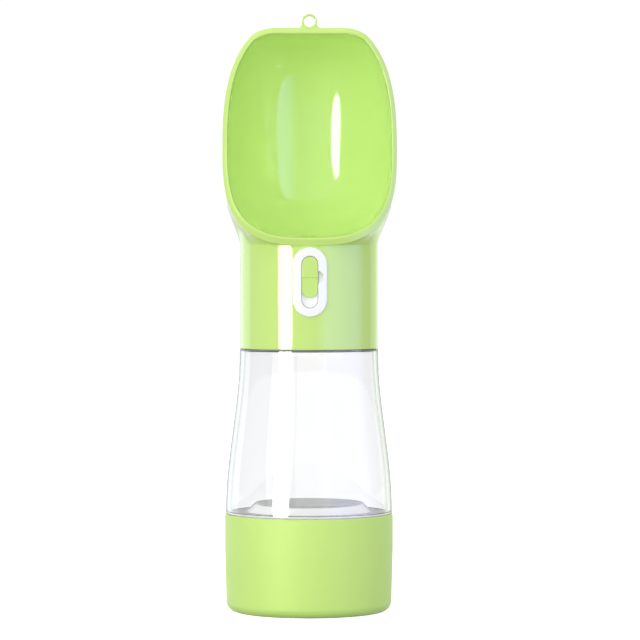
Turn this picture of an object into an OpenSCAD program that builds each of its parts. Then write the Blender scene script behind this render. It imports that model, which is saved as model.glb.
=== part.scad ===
/* [Overall] */
// Radius of the sleeve and of the bottle's shoulder
sleeve_r = 31; // [30:0.25:33]
// Radius of the food cup at its lip
cup_r = 37.8; // [37.6:0.1:38.8]
// How far the base of the clear bottle lies inside the cup's lip
bottle_step = 0.45; // [0.3:0.05:0.9]
// Height of the food cup
cup_h = 43.9; // [38:0.5:55]
// Height of the clear bottle from its base flange to its shoulder
bottle_h = 73.3; // [60:0.5:110]
// Height of the sleeve from its lower edge to the trough's lower lip
sleeve_h = 46.25; // [46.25:0.25:56]
// Height of the trough from its lower lip to its widest level
trough_low = 43.6; // [40:0.2:50]
// Height of the trough from its widest level to its tip
trough_high = 53.4; // [48:0.2:55]
// Half of the trough's width
trough_half = 38.9; // [37:0.1:41]
// Height above the widest level at which the rim's sides would meet, if its top weren't cut flat
crown = 57; // [56:0.2:60]
// How far the rim leans back from its lower lip to its tip
rim_lean = 15; // [10:0.5:20]

/* [Walls] */
// Wall of the clear bottle
bottle_wall = 1.8; // [1.4:0.1:2.2]
// Wall of the food cup
cup_wall = 2.0; // [1.6:0.1:2.2]
// Floor of the food cup
cup_floor = 2.2; // [1.6:0.1:3]
// Wall of the sleeve
sleeve_wall = 2.2; // [2:0.1:2.6]
// Wall of the trough behind and below its hollow
trough_wall = 2.0; // [1.6:0.1:2.2]
// Width of the trough's lip at its sides and top
lip_side = 2.1; // [1.8:0.1:2.6]
// Width of the trough's lip at its bottom
lip_low = 3.0; // [2.4:0.1:3.6]

/* [Bottle neck and skirt] */
// How far the bottle's neck lies inside the sleeve's outer radius
neck_step = 6.5; // [6:0.1:7]
// Wall of the bottle's neck
neck_wall = 2.0; // [1.6:0.1:2.6]
// Height of the bottle's neck above its shoulder
neck_h = 11; // [10.6:0.1:12]
// Thickness of the deck that closes the bottle's mouth
deck_t = 2; // [1.6:0.1:2.4]
// Height of the skirt below the bottle's flange
skirt_h = 11.2; // [10.4:0.1:13]
// Wall of the skirt
skirt_wall = 2.0; // [1.6:0.1:2.4]
// How far the foot of the bottle's raised floor lies inside the skirt
punt_inset = 5.9; // [5:0.1:7]
// How much smaller the raised floor's flat top is than its foot, in radius
punt_slope = 4.1; // [2:0.1:7]
// Height of the raised floor
punt_h = 4.2; // [2:0.1:6]
// Radial height of every thread
thread_depth = 1.2; // [1:0.05:1.4]
// Pitch of every thread
thread_pitch = 4; // [4:0.1:4.2]
// Clearance between a thread's crest and the wall that faces it
thread_gap = 0.4; // [0.35:0.05:0.5]

/* [Seals] */
// Thickness of the grey ring at the shoulder
shoulder_ring_t = 0.8; // [0.6:0.1:1.2]
// Thickness of the washer on the bottle's mouth
mouth_gasket_t = 1.5; // [1.2:0.1:2]
// Height of the ring that seals the deck
core_seal_h = 1.2; // [0.8:0.1:1.4]
// Height of the cup's gasket
cup_gasket_h = 1.5; // [1.2:0.1:1.6]
// Height of the collar at the trough's outlet
outlet_seal_h = 2.8; // [2:0.1:3.4]
// Small gap between faces that rest on each other
face_gap = 0.05; // [0.03:0.01:0.1]

/* [Button] */
// Width of the white surround
bezel_w = 15.7; // [15:0.1:17]
// Height of the white surround
bezel_h = 31; // [30.4:0.1:31.2]
// How far the surround stands out of the sleeve
bezel_proud = 1; // [0.8:0.1:1.4]
// Width of the opening in the surround
opening_w = 7.4; // [7.2:0.1:7.8]
// Height of the opening in the surround
opening_h = 23; // [22.6:0.1:23.4]
// Depth of the pointer notch in the surround
notch_d = 2.4; // [1.6:0.1:2.6]
// How deep the pointer notch is cut into the surround's face
notch_t = 2.4; // [1:0.1:2.6]
// Height of the pointer notch at its mouth
notch_h = 5.6; // [4:0.1:6.4]
// Clearance between the plunger and the surround
plunger_gap = 0.15; // [0.1:0.05:0.2]
// Height of the green key
key_h = 18.3; // [18:0.1:18.6]
// Thickness of the green key
key_t = 1.5; // [1.2:0.1:1.7]
// How far the key lies below the front of the surround
key_recess = 0.4; // [0.2:0.1:0.6]
// Front wall of the plunger
plunger_wall = 1.2; // [1:0.1:1.4]
// Depth of the plunger
plunger_d = 3.4; // [3.2:0.1:3.8]
// Thickness of the plunger's back plate
plate_t = 1.2; // [1:0.1:1.4]
// Thickness of the key's clip
clip_t = 0.8; // [0.6:0.1:0.9]
// Clearance left at each end of the key's travel
key_gap = 0.15; // [0.1:0.05:0.3]

/* [Valve] */
// Radius of the valve stem
stem_r = 1.5; // [1.3:0.05:1.7]
// Clearance of the stem in its bush
stem_gap = 0.05; // [0.03:0.01:0.08]
// Length of the return spring as fitted
spring_len = 8.8; // [8.4:0.1:9.6]
// Radius of the return spring's wire
spring_wire_r = 0.35; // [0.3:0.05:0.45]
// Mean radius of the return spring
spring_r = 3.5; // [3.3:0.05:3.7]
// Turns of the return spring
spring_turns = 6; // [5:1:7]
// Inner radius of the valve chamber
chamber_r = 6.3; // [6:0.1:6.6]
// Wall of the valve chamber
chamber_wall = 2.2; // [1.8:0.1:2.4]
// Depth of the valve chamber behind its seat
chamber_back = 18; // [17:0.2:19]
// Thickness of the valve's seat
seat_t = 2; // [1.6:0.1:2.4]
// Thickness of the chamber cap's flange
cap_t = 1.5; // [1.2:0.1:1.8]
// Depth of the chamber cap's spigot in the chamber
cap_spigot = 2.6; // [2:0.1:3]
// Radius of the hole in the valve's seat
seat_hole_r = 3.8; // [3.4:0.1:4]
// Radius of the valve's plug
plug_r = 5.2; // [4.8:0.1:5.4]
// Thickness of the valve's plug
plug_t = 3; // [2.4:0.1:3.4]
// Bore radius of the riser to the trough
riser_r = 3.6; // [3.2:0.1:3.7]
// Bore radius of the inlet from the bottle
inlet_r = 4.6; // [4:0.1:4.8]

/* [Lanyard eye] */
// Radius of the hole in the eye
eye_hole_r = 2.45; // [2.2:0.05:2.6]
// Wall of the eye around its hole
eye_wall = 1.05; // [0.9:0.05:1.4]
// Thickness of the eye from front to back
eye_t = 2.6; // [2:0.1:3.2]

/* [Hidden] */

// Levels, from the ground up
seam_gap = 0.3;
base_t = 0.7;
z_flange = cup_h + seam_gap;
z_skirt = z_flange - skirt_h;
z_floor = z_flange + base_t;
z_shoulder = z_flange + bottle_h;
z_mouth = z_shoulder + neck_h;
z_sleeve = z_shoulder + shoulder_ring_t + face_gap;
z_lip = z_sleeve + sleeve_h;
z_wide = z_lip + trough_low;
z_tip = z_wide + trough_high;
z_deck = z_mouth + 2 * face_gap + mouth_gasket_t;
pad_drop = 0.4;
z_pad = z_lip + lip_low - trough_wall - pad_drop;

// Radii
bottle_r = cup_r - bottle_step;
skirt_r = cup_r - cup_wall - thread_gap - thread_depth;
punt_foot_r = skirt_r - punt_inset;
punt_top_r = punt_foot_r - punt_slope;
bore_r = sleeve_r - sleeve_wall;
core_gap = 0.1;
core_r = bore_r - core_gap;
neck_r = sleeve_r - neck_step;
socket_r = neck_r + thread_depth + thread_gap;

// Threads: how far each starts above the edge below it, and the angles where they begin and end
neck_thread_z = 3.4;
skirt_thread_z = 2.2;
male_from = 0;
male_to = 540;
female_from = 270;
female_to = 720;

// Button, from its front to its back along Y; the front faces -Y
button_drop = 0.7;
z_button = z_lip - button_drop - bezel_h / 2;
y_bezel = -sleeve_r - bezel_proud;
y_key = y_bezel + key_recess;
y_plunger = y_key + key_t + 2 * face_gap;
y_plate = y_plunger + plunger_d;
y_boss = y_plate + plate_t;
boss_l = 2;
boss_wall = 1.7;
boss_r = stem_r + boss_wall;
y_seat_washer = y_boss + boss_l;
seat_washer_t = 0.6;
y_spring = y_seat_washer + seat_washer_t;
y_bush = y_spring + spring_len;
bush_flange_t = 0.8;
bush_l = 2.5;
bush_wall = 1.4;
stem_bush_r = stem_r + bush_wall;
y_front_wall = y_bush + bush_flange_t;
seal_r = 0.8;
front_wall = bush_l + 2 * (seal_r + face_gap);
y_chamber = y_front_wall + front_wall;
port_edge = 0.7;
y_riser = y_chamber + port_edge + riser_r;
y_valve_seat = y_riser + riser_r + port_edge;
y_plug = y_valve_seat + seat_t + face_gap;
retainer_t = 1.5;
y_inlet = y_plug + plug_t + retainer_t + port_edge + inlet_r;
y_chamber_end = y_valve_seat + seat_t + chamber_back;
stem_tail = 0.5;
y_stem_end = y_plug + plug_t + retainer_t + stem_tail;

// Plunger, key and the clip behind it
plunger_w = opening_w - 2 * plunger_gap;
plunger_h = opening_h - 2 * plunger_gap;
plunger_rim = 1.1;
z_key = z_button + (opening_h - key_h) / 2 - key_gap;
key_travel = opening_h - key_h - 2 * key_gap;
key_step = 0.35;
tongue_w = 2.4;
tongue_h = 6;
clip_rim = 0.8;

// Lanyard eye
y_tip = -sleeve_r + rim_lean;
eye_set = 0.35;
z_eye = z_tip + eye_hole_r + eye_set;
eye_r = eye_hole_r + eye_wall;

// Head: heights above the lip up to which the skin keeps its lowest power, at which the back is
// deepest and at which the chamber ends, and the powers of the curves
flare_rise = 17;
deep_rise = 47.4;
chamber_rise = 36.4;
rim_n = 3;
back_n = 3;
level_n = 2.3;
skin_n = 5.5;
z_deep = z_lip + deep_rise;

green = [0.80, 0.94, 0.52];
white = [0.97, 0.98, 0.98];
silicone = [0.62, 0.64, 0.63];
steel = [0.75, 0.76, 0.78];

// ---------- helpers ----------

function clamp01(v) = min(1, max(0, v));
function smooth(v) = clamp01(v) * clamp01(v) * (3 - 2 * clamp01(v));
function signed_power(v, p) = sign(v) * pow(abs(v), p);

// Quarter of a superellipse: 1 at u = 0, falling to 0 at u = 1
function bulge(u, n) = pow(max(0, 1 - pow(clamp01(abs(u)), n)), 1 / n);

// Solid through a list of rings with equal numbers of points, closed by its first and last ring
module loft(rings) {
    count = len(rings[0]);
    last = len(rings) - 1;
    sides = [for (i = [0 : last - 1], j = [0 : count - 1])
        let (k = (j + 1) % count)
        each [[i * count + j, (i + 1) * count + j, i * count + k],
              [i * count + k, (i + 1) * count + j, (i + 1) * count + k]]];
    bottom = [for (j = [0 : count - 1]) j];
    top = [for (j = [count - 1 : -1 : 0]) last * count + j];
    polyhedron(points = [for (ring = rings) each ring], faces = concat(sides, [bottom, top]));
}

// One thread from angle a0 to a1 on a wall of radius r; side is 1 outward and -1 inward
module thread(r, z0, a0, a1, side) {
    step = 10;
    sunk = 0.3;
    root = 0.8;
    crest = 0.45;
    turns = [for (a = [a0 : step : a1])
        let (z = z0 + thread_pitch * a / 360,
             foot = r - side * sunk,
             tip = r + side * thread_depth,
             low = [foot * cos(a), foot * sin(a)],
             high = [tip * cos(a), tip * sin(a)],
             ring = [[low.x, low.y, z - root], [high.x, high.y, z - crest],
                     [high.x, high.y, z + crest], [low.x, low.y, z + root]])
        side < 0 ? ring : [ring[3], ring[2], ring[1], ring[0]]];
    loft(turns);
}

// Upright stadium of width w and height h, from y0 to y1 along Y
module stadium(w, h, y0, y1) {
    translate([0, y1, z_button])
        rotate([90, 0, 0])
            linear_extrude(y1 - y0) {
                square([w, h - w], center = true);
                for (s = [-1, 1])
                    translate([0, s * (h - w) / 2]) circle(d = w, $fn = 48);
            }
}

// Round rod along Y from y0 to y1, on the valve's axis
module rod_y(r, y0, y1) {
    translate([0, y0, z_button])
        rotate([-90, 0, 0]) cylinder(h = y1 - y0, r = r, $fn = 48);
}

module ring_z(outer, inner, z0, z1) {
    translate([0, 0, z0])
        difference() {
            cylinder(h = z1 - z0, r = outer, $fn = 96);
            translate([0, 0, -1]) cylinder(h = z1 - z0 + 2, r = inner, $fn = 96);
        }
}

// ---------- clear bottle ----------

base_edge = 1.5;
function bottle_outer(z) =
    sleeve_r + (bottle_r - sleeve_r) * smooth((z_shoulder - z) / (z_shoulder - z_flange - base_edge));

module bottle_body() {
    edge = 0.4;
    shoulder_t = 1.2;
    corner = 0.8;
    levels = [for (i = [0 : 16]) z_flange + edge + (z_shoulder - z_flange - 2 * edge) * i / 16];
    inner_low = z_floor + corner;
    inner_high = z_shoulder - shoulder_t - corner;
    inner_levels = [for (i = [0 : 14]) inner_high + (inner_low - inner_high) * i / 14];
    floor_r = bottle_outer(z_floor) - bottle_wall;
    mouth_r = neck_r - neck_wall;
    color([0.93, 0.96, 0.96, 0.4])
    union() {
        rotate_extrude($fn = 96)
            polygon(concat(
                [[0, z_floor + punt_h - bottle_wall], [punt_top_r - 0.8, z_floor + punt_h - bottle_wall],
                 [punt_foot_r - 1.2, z_floor - bottle_wall], [skirt_r - skirt_wall, z_floor - bottle_wall],
                 [skirt_r - skirt_wall, z_skirt], [skirt_r, z_skirt], [skirt_r, z_flange],
                 [bottle_outer(z_flange + edge) - edge, z_flange]],
                [for (z = levels) [bottle_outer(z), z]],
                [[sleeve_r - edge, z_shoulder], [neck_r, z_shoulder], [neck_r, z_mouth - edge],
                 [neck_r - edge, z_mouth], [mouth_r, z_mouth], [mouth_r, z_shoulder - shoulder_t / 2],
                 [mouth_r + corner, z_shoulder - shoulder_t],
                 [sleeve_r - bottle_wall - corner, z_shoulder - shoulder_t]],
                [for (z = inner_levels) [bottle_outer(z) - bottle_wall, z]],
                [[floor_r - corner, z_floor], [punt_foot_r, z_floor],
                 [punt_top_r, z_floor + punt_h], [0, z_floor + punt_h]]));
        thread(neck_r, z_shoulder + neck_thread_z, male_from, male_to, 1);
        thread(skirt_r, z_skirt + skirt_thread_z, male_from, male_to, 1);
    }
}

module shoulder_ring() {
    inset = 0.1;
    color(silicone)
        ring_z(sleeve_r - inset, neck_r + seam_gap, z_shoulder, z_shoulder + shoulder_ring_t);
}

// ---------- head: trough, sleeve and eye in one moulding ----------

// Distance of the rim plane in front of the axis
function front_y(z) = -sleeve_r + rim_lean * clamp01((z - z_lip) / (z_tip - z_lip));

// Half-width of the rim's outline; inset_side and inset_low shrink it
function rim_half(z, inset_side, inset_low) =
    z < z_wide
        ? (trough_half - inset_side) * bulge((z_wide - z) / (trough_low - inset_low), rim_n)
        : (trough_half - inset_side) * bulge((z - z_wide) / (crown - inset_side), rim_n);

// Back of the outer skin, and of the hollow; both are deepest at z_deep
function back_y(z, inset) =
    y_tip + (sleeve_r - inset - y_tip) * bulge(max(0, z - z_deep) / (z_tip - inset - z_deep), back_n);
function bowl_y(z, side, low, wall) =
    let (foot = z_lip + low, u = max(0, z_deep - z) / (z_deep - foot))
    min(back_y(z, wall), front_y(z) + (sleeve_r - wall - front_y(z)) * bulge(u, back_n));

// Half-width at depth y of the sleeve, whose radius follows the back, and of a level of the trough
function sleeve_half(y, z) = sqrt(max(0, pow(max(0, back_y(z, 0)), 2) - y * y));
function level_half(half, y, front, depth) = half * bulge((y - front) / depth, level_n);

// The skin is the power mean of the two; its points run from the right of the rim round the back
function skin_ring(z, count) =
    let (rim = z > z_lip ? rim_half(z, 0, 0) : 0,
         front = front_y(z),
         depth = max(0.3, back_y(z, 0) - front),
         n = skin_n * max(1, (z - z_lip) / flare_rise))
    [for (j = [0 : count])
        let (t = 1 - abs(2 * j / count - 1),
             y = front + depth * (1 - cos(180 * t)) / 2,
             half = pow(pow(sleeve_half(y, z), n) + pow(level_half(rim, y, front, depth), n), 1 / n))
        [(j < count / 2 ? 1 : -1) * (j == 0 || j == count ? max(0.4, half) : half), y, z]];

function hollow_ring(z, count, side, low, wall, reach) =
    let (half = rim_half(z, side, low), y = front_y(z), depth = max(0.3, bowl_y(z, side, low, wall) - y))
    concat([[half, y - reach, z]],
        [for (j = [0 : count])
            let (a = 180 * j / count)
            [half * signed_power(cos(a), 2 / level_n),
             y + depth * signed_power(sin(a), 2 / level_n), z]],
        [[-half, y - reach, z]]);

module head_skin() {
    rows = 14;
    lower = [z_sleeve, z_sleeve + sleeve_h / 2, z_lip];
    flare = [for (i = [1 : rows]) z_lip + trough_low * pow(i / rows, 2.2)];
    upper = [for (i = [1 : rows]) z_wide + trough_high * pow(sin(90 * i / rows), 0.7)];
    loft([for (z = concat(lower, flare, upper)) skin_ring(z, 56)]);
}

module trough_hollow(side, low, wall, reach) {
    rows = 18;
    foot = z_lip + low;
    height = z_tip - side - foot;
    loft([for (i = [0 : rows])
        let (t = 2 + 176 * i / rows)
        hollow_ring(foot + height * (1 - cos(t)) / 2, 40, side, low, wall, reach)]);
}

module head_shell() {
    pad_wall = 3.6;
    outlet_r = riser_r - 0.2;
    color(green)
    difference() {
        union() {
            difference() {
                head_skin();
                difference() {
                    translate([0, 0, z_sleeve - 1])
                        cylinder(h = z_lip + chamber_rise + 1 - z_sleeve, r = bore_r, $fn = 96);
                    trough_hollow(lip_side - trough_wall, lip_low - trough_wall,
                                  sleeve_wall - trough_wall, 9);
                    translate([0, y_riser, z_pad]) cylinder(h = 8, r = riser_r + pad_wall, $fn = 48);
                }
            }
            eye();
        }
        trough_hollow(lip_side, lip_low, sleeve_wall, 6);
        translate([0, y_riser, z_pad - 3]) cylinder(h = 14, r = outlet_r, $fn = 48);
        stadium(bezel_w + 2 * face_gap, bezel_h + 2 * face_gap, -sleeve_r - 4, -bore_r + 6);
        translate([0, y_tip - eye_t, z_eye])
            rotate([-90, 0, 0]) cylinder(h = 3 * eye_t, r = eye_hole_r, $fn = 48);
    }
}

module eye() {
    // Half of the web that joins the eye to the rim, from its foot up to the eye's side
    web = [[eye_r + 1.9, eye_r + 0.6], [eye_r + 1.3, eye_r - 0.7], [eye_r - 0.3, eye_r - 2.4]];
    translate([0, y_tip, z_eye])
        rotate([-90, 0, 0]) {
            cylinder(h = eye_t, r = eye_r, $fn = 48);
            linear_extrude(eye_t)
                polygon(concat([for (p = web) [-p.x, p.y]], [for (i = [2 : -1 : 0]) web[i]]));
        }
}

// ---------- white insert ----------

module head_core() {
    z_top = z_pad - outlet_seal_h - face_gap;
    groove = 1.3;
    pipe_wall = 2;
    rib_t = 2.5;
    outer = chamber_r + chamber_wall;
    color(white)
    difference() {
        union() {
            ring_z(core_r, socket_r, z_sleeve + 1, z_deck + 0.5);
            thread(socket_r, z_shoulder + neck_thread_z - thread_pitch / 2,
                   female_from, female_to, -1);
            translate([0, 0, z_deck]) cylinder(h = deck_t, r = core_r, $fn = 96);
            rod_y(outer, y_front_wall, y_chamber_end);
            translate([0, y_riser, z_button])
                cylinder(h = z_top - z_button, r = riser_r + pipe_wall, $fn = 48);
            translate([0, y_inlet, z_deck])
                cylinder(h = z_button - z_deck, r = inlet_r + pipe_wall, $fn = 48);
            translate([-rib_t / 2, y_front_wall + 1, z_deck + 1])
                cube([rib_t, y_chamber_end - y_front_wall - 3, z_button - z_deck - 2]);
        }
        rod_y(stem_bush_r, y_front_wall - 1, y_valve_seat);
        rod_y(seal_r * 2 + stem_r + 2 * face_gap, y_front_wall + bush_l, y_chamber + 1);
        rod_y(chamber_r, y_chamber, y_valve_seat);
        rod_y(seat_hole_r, y_valve_seat - 1, y_valve_seat + seat_t + 1);
        rod_y(chamber_r, y_valve_seat + seat_t, y_chamber_end + 1);
        translate([0, y_riser, z_button]) cylinder(h = z_top - z_button + 1, r = riser_r, $fn = 48);
        translate([0, y_inlet, z_deck - 1]) cylinder(h = z_button - z_deck + 1, r = inlet_r, $fn = 48);
        translate([0, 0, z_deck + 0.4])
            difference() {
                cylinder(h = core_seal_h, r = core_r + 1, $fn = 96);
                translate([0, 0, -1]) cylinder(h = core_seal_h + 2, r = core_r - groove, $fn = 96);
            }
    }
}

module mouth_gasket() {
    color(silicone)
        ring_z(socket_r - 0.2, neck_r - neck_wall - 1, z_mouth + face_gap, z_deck - face_gap);
}

module core_seal_ring() {
    low = z_deck + 0.4 + face_gap;
    color(silicone) ring_z(bore_r - 0.02, core_r - 1.25, low, low + core_seal_h - 2 * face_gap);
}

module outlet_seal() {
    low = z_pad - outlet_seal_h;
    color(silicone)
        translate([0, y_riser, low])
            difference() {
                cylinder(h = outlet_seal_h - face_gap, r = riser_r + 2.2, $fn = 48);
                translate([0, 0, -1]) cylinder(h = outlet_seal_h + 2, r = riser_r - 0.1, $fn = 48);
            }
}

// ---------- button and lock ----------

module button_bezel() {
    flange = 1.5;
    notch_rise = 0.2;
    color(white)
    difference() {
        union() {
            intersection() {
                stadium(bezel_w, bezel_h, -sleeve_r - 3, -sleeve_r + 8);
                ring_z(sleeve_r + bezel_proud, bore_r - 1.4, z_button - bezel_h, z_button + bezel_h);
            }
            intersection() {
                stadium(bezel_w + 2 * flange, bezel_h, -sleeve_r - 3, -sleeve_r + 9);
                ring_z(bore_r - 0.1, bore_r - 1.4, z_button - bezel_h, z_button + bezel_h);
            }
        }
        stadium(opening_w, opening_h, -sleeve_r - 5, -sleeve_r + 10);
        translate([opening_w / 2 - 0.2, y_bezel - 1, z_button + notch_rise])
            rotate([-90, 0, 0])
                linear_extrude(1 + notch_t)
                    polygon([[0, -notch_h / 2], [notch_d + 0.2, 0], [0, notch_h / 2]]);
    }
}

module button_plunger() {
    slot_gap = 0.15;
    slot_h = tongue_h + key_travel + 2 * slot_gap;
    color(white)
    difference() {
        stadium(plunger_w, plunger_h, y_plunger, y_plate);
        stadium(plunger_w - 2 * plunger_rim, plunger_h - 2 * plunger_rim,
                y_plunger + plunger_wall, y_plate + 1);
        translate([-tongue_w / 2 - 0.1, y_plunger - 1, z_key + tongue_h / 2 + slot_gap - slot_h])
            cube([tongue_w + 0.2, plunger_wall + 2, slot_h]);
    }
}

module plunger_plate() {
    brim = 1.6;
    color(white)
    difference() {
        union() {
            stadium(plunger_w + 2 * brim, plunger_h + 2 * brim, y_plate, y_boss);
            rod_y(boss_r, y_boss - 0.2, y_seat_washer);
        }
        rod_y(stem_r, y_plate - 1, y_seat_washer + 1);
    }
}

module lock_key() {
    color(green)
    union() {
        difference() {
            translate([0, 0, z_key - z_button])
                stadium(plunger_w - 0.2, key_h, y_key, y_key + key_t);
            // The lower half is set back, which leaves a thumb step across the middle
            translate([-plunger_w, y_key - 1, z_key - key_h])
                cube([2 * plunger_w, 1 + key_step, key_h]);
        }
        translate([-tongue_w / 2, y_key + key_t - 0.3, z_key - tongue_h / 2])
            cube([tongue_w, 0.3 + 2 * face_gap + plunger_wall + clip_t, tongue_h]);
    }
}

module key_clip() {
    clip_w = plunger_w - 2 * plunger_rim - 0.4;
    y_clip = y_plunger + plunger_wall + face_gap;
    color(steel)
    difference() {
        translate([-clip_w / 2, y_clip, z_key - tongue_h / 2 - clip_rim])
            cube([clip_w, clip_t, tongue_h + 2 * clip_rim]);
        translate([-tongue_w / 2, y_clip - 1, z_key - tongue_h / 2])
            cube([tongue_w, clip_t + 2, tongue_h]);
    }
}

// ---------- valve ----------

module valve_stem() {
    color(steel) rod_y(stem_r, y_plate + face_gap, y_stem_end);
}

module spring_seat() {
    color(white)
    difference() {
        rod_y(spring_r + spring_wire_r + 0.5, y_seat_washer, y_spring);
        rod_y(stem_r, y_seat_washer - 1, y_spring + 1);
    }
}

module return_spring() {
    around = 6;
    per_turn = 18;
    steps = spring_turns * per_turn;
    rise = spring_len - 2 * spring_wire_r - 2 * face_gap;
    color(steel)
    translate([0, y_spring + spring_wire_r + face_gap, z_button])
        rotate([-90, 0, 0])
            loft([for (i = [0 : steps])
                let (a = 360 * i / per_turn, u = i / steps,
                     z = rise * clamp01((u - 1 / spring_turns * 0.75) / (1 - 1.5 / spring_turns)))
                [for (j = [0 : around - 1])
                    let (b = -360 * j / around, r = spring_r + spring_wire_r * cos(b))
                    [r * cos(a), r * sin(a), z * 0.999 + spring_wire_r * sin(b) + 0.001 * rise * u]]]);
}

module stem_bush() {
    color(silicone)
    difference() {
        union() {
            rod_y(stem_bush_r, y_front_wall - 0.1, y_front_wall + bush_l);
            rod_y(stem_bush_r + 1.4, y_bush, y_front_wall);
        }
        rod_y(stem_r + stem_gap, y_bush - 1, y_chamber);
    }
}

module stem_seal() {
    color([0.2, 0.2, 0.2])
    translate([0, y_front_wall + bush_l + seal_r + face_gap, z_button])
        rotate([-90, 0, 0])
            rotate_extrude($fn = 48)
                translate([stem_r + stem_gap + seal_r, 0]) circle(r = seal_r, $fn = 24);
}

module valve_plug() {
    color([0.85, 0.87, 0.86])
    difference() {
        rod_y(plug_r, y_plug, y_plug + plug_t);
        rod_y(stem_r, y_plug - 1, y_plug + plug_t + 1);
    }
}

module plug_retainer() {
    color(white)
    difference() {
        rod_y(stem_r + 1.9, y_plug + plug_t, y_plug + plug_t + retainer_t);
        rod_y(stem_r, y_plug, y_stem_end + 1);
    }
}

module chamber_cap() {
    color(white) {
        rod_y(chamber_r - face_gap, y_chamber_end - cap_spigot, y_chamber_end + cap_t);
        rod_y(chamber_r + chamber_wall - 2 * face_gap, y_chamber_end, y_chamber_end + cap_t);
    }
}

// ---------- food cup ----------

module food_cup() {
    inner = cup_r - cup_wall;
    draft = 0.7;
    corner = 6.5;
    foot_w = 3;
    recess = 0.9;
    foot_r = cup_r - draft - corner;
    inner_corner = corner - cup_wall;
    arc = [for (a = [0 : 9 : 90]) [foot_r + corner * sin(a), corner - corner * cos(a)]];
    inner_arc = [for (a = [90 : -9 : 0])
        [inner - draft - inner_corner + inner_corner * sin(a),
         cup_floor + inner_corner - inner_corner * cos(a)]];
    color(green)
    union() {
        rotate_extrude($fn = 96)
            polygon(concat([[0, recess], [foot_r - foot_w - recess, recess], [foot_r - foot_w, 0]], arc,
                [[cup_r, cup_h - 16], [cup_r, cup_h - 0.5], [cup_r - 0.5, cup_h], [inner, cup_h],
                 [inner, cup_h - 12]],
                inner_arc, [[0, cup_floor]]));
        thread(inner, z_skirt + skirt_thread_z - thread_pitch / 2, female_from, female_to, -1);
    }
}

module cup_gasket() {
    gap = 0.1;
    top = z_flange - face_gap;
    color(silicone) ring_z(cup_r - cup_wall - gap, skirt_r + gap, top - cup_gasket_h, top);
}

bottle_body();
shoulder_ring();
head_shell();
head_core();
mouth_gasket();
core_seal_ring();
outlet_seal();
button_bezel();
button_plunger();
plunger_plate();
valve_stem();
spring_seat();
return_spring();
stem_bush();
stem_seal();
valve_plug();
plug_retainer();
chamber_cap();
lock_key();
key_clip();
food_cup();
cup_gasket();
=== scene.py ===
import math

import bmesh
import bpy
import numpy as np
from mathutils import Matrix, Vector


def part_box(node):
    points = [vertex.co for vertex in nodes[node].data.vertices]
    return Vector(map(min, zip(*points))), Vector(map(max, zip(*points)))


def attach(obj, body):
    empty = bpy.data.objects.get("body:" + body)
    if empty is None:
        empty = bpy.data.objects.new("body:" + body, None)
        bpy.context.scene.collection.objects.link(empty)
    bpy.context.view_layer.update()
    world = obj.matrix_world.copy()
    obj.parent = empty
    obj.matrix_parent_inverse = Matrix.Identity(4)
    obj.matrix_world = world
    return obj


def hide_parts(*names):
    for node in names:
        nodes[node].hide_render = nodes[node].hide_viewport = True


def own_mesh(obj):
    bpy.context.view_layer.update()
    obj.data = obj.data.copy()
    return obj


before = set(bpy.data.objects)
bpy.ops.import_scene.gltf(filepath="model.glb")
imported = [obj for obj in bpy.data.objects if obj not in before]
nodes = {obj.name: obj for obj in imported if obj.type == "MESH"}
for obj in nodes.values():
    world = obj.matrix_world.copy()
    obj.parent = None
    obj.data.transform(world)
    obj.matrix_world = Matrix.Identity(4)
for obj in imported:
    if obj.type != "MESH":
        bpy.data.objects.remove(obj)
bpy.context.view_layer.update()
mm = 0.001


# ---- Studio: camera, floor and lights ----
# The bottle stands on a seamless white table in front of a white wall, in a grey room lit by two broad
# lamps at the front. Bright panels to the left, to the right and behind are there for the gloss alone.

sensor_mm = 36
field_of_view = math.radians(10.75)
camera_place = (-0.0204, -1.53, 0.1631)
tilt_down, turn_right = math.radians(1.2), math.radians(0.95)

camera_data = bpy.data.cameras.new("camera")
camera_data.sensor_fit = "HORIZONTAL"
camera_data.sensor_width = sensor_mm
camera_data.lens = sensor_mm / (2 * math.tan(field_of_view / 2))
camera = bpy.data.objects.new("camera", camera_data)
camera.location = camera_place
camera.rotation_euler = (math.pi / 2 - tilt_down, 0, -turn_right)
bpy.context.scene.collection.objects.link(camera)
bpy.context.scene.camera = camera

lamp_aim = np.array([0, 0, 0.16])


def look_at(obj, target):
    """Turns a lamp so that its -Z axis points from its place to the target."""
    ray = np.array(target, float) - np.array(obj.location, float)
    obj.rotation_euler = (math.atan2(math.hypot(ray[0], ray[1]), -ray[2]), 0,
                          math.atan2(ray[1], ray[0]) - math.pi / 2)


def matt_lamp(name, azimuth, elevation, distance, diameter, radiance):
    """Round lamp seen in matt surfaces only and turned to lamp_aim. Azimuth is in degrees to the right of
    the front, elevation in degrees, and the power is radiance in W/(m2 sr) times pi times the area."""
    lamp = bpy.data.lights.new(name, "AREA")
    lamp.shape = "DISK"
    lamp.size = diameter
    lamp.energy = radiance * math.pi * math.pi / 4 * diameter ** 2
    obj = bpy.data.objects.new(name, lamp)
    bpy.context.scene.collection.objects.link(obj)
    a, e = math.radians(azimuth), math.radians(elevation)
    outward = np.array([math.sin(a) * math.cos(e), -math.cos(a) * math.cos(e), math.sin(e)])
    obj.location = lamp_aim + distance * outward
    look_at(obj, lamp_aim)
    obj.visible_camera = obj.visible_glossy = False


matt_lamp("key_lamp", azimuth=-46, elevation=9, distance=1.25, diameter=1.0, radiance=2.1)
matt_lamp("front_lamp", azimuth=5, elevation=4, distance=1.25, diameter=1.2, radiance=1.45)

world = bpy.data.worlds.new("grey_room")
bpy.context.scene.world = world
bpy.context.scene.view_settings.view_transform = "Standard"

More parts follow.
